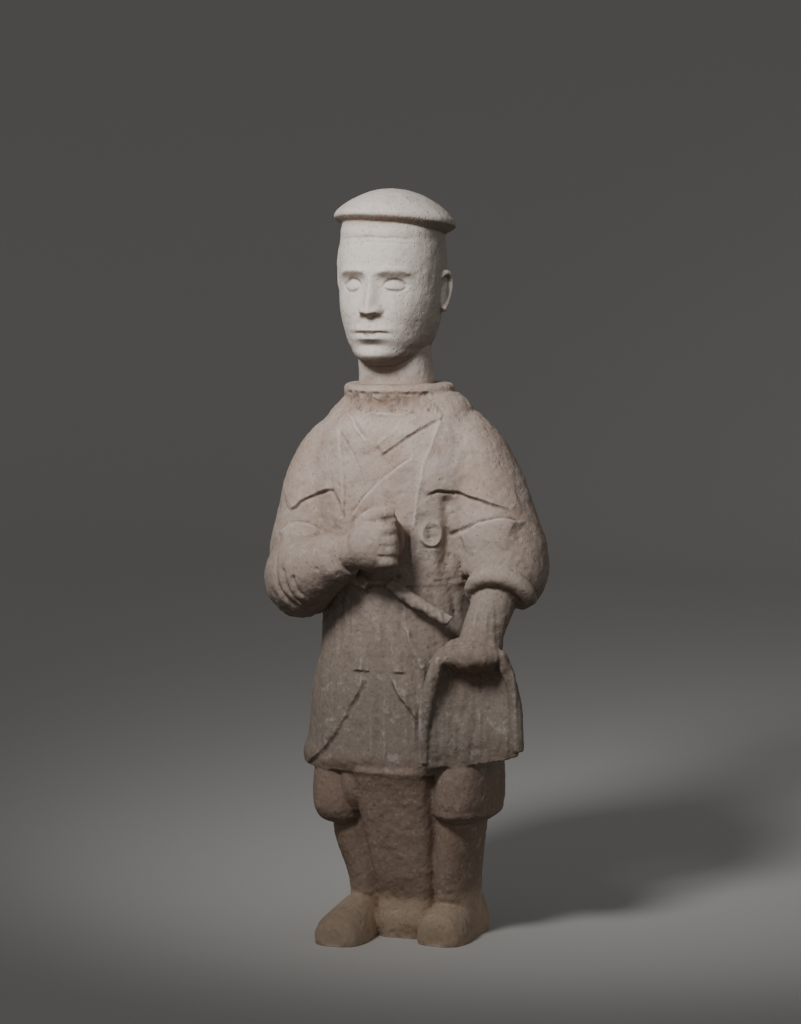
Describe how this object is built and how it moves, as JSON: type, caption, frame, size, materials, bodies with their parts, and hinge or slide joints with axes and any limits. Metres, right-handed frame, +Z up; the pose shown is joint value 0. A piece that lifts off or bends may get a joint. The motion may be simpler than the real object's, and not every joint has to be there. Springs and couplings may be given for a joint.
{
  "type": "pottery tomb figurine",
  "caption": "Standing pottery labourer in a flat round cap and a belted robe, with a fist at the chest and a winnowing basket hanging from the other hand.",
  "frame": {"origin": "on the ground, under the middle of the figure's box", "axes": "+Z up; the figure faces -Y, and its left hand, with the basket, is at +X"},
  "size_m": [0.3476, 0.2324, 0.9002],
  "materials": {
    "fired_clay": "matt unglazed earthenware, weathered and stained with earth"
  },
  "bodies": {
    "root": {"tomb_figurine": "fired_clay"}
  },
  "joints": []
}
